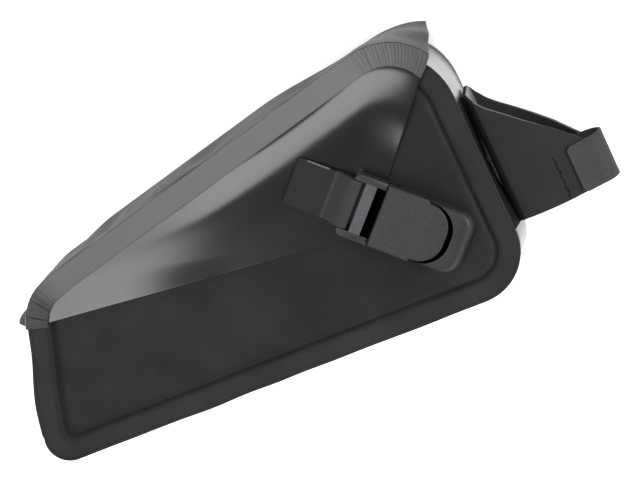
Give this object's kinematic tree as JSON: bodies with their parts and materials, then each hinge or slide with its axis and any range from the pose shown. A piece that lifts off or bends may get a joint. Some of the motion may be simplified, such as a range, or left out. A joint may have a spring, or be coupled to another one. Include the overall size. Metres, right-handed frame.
{
  "type": "top tube bag",
  "caption": "Wedge-shaped waterproof frame bag for under a bicycle's top tube, with a flap lid, hook buckle and seat tube strap.",
  "frame": {"origin": "middle of the underside of the whole bag as it lies on its far side panel", "axes": "+X along the top edge towards the wide rear end, +Y towards the top tube, +Z out of the near side panel that carries the flap"},
  "size_m": [0.3252, 0.142, 0.0665],
  "materials": {
    "panel_vinyl": "matte charcoal coated cloth",
    "coated_fabric": "glossy coated ripstop",
    "buckle_plastic": "fine-grained grey plastic",
    "webbing": "twill webbing",
    "strap_cloth": "matte charcoal cloth"
  },
  "bodies": {
    "root": {"near_panel": "panel_vinyl", "far_panel": "panel_vinyl", "gusset": "coated_fabric", "lid_hood": "coated_fabric", "lid_flap": "coated_fabric", "lid_strip": "coated_fabric", "flap_webbing": "webbing", "buckle_frame": "buckle_plastic", "buckle_cover": "buckle_plastic", "buckle_catch": "buckle_plastic", "seat_strap": "strap_cloth", "strap_tab": "webbing"}
  },
  "joints": []
}
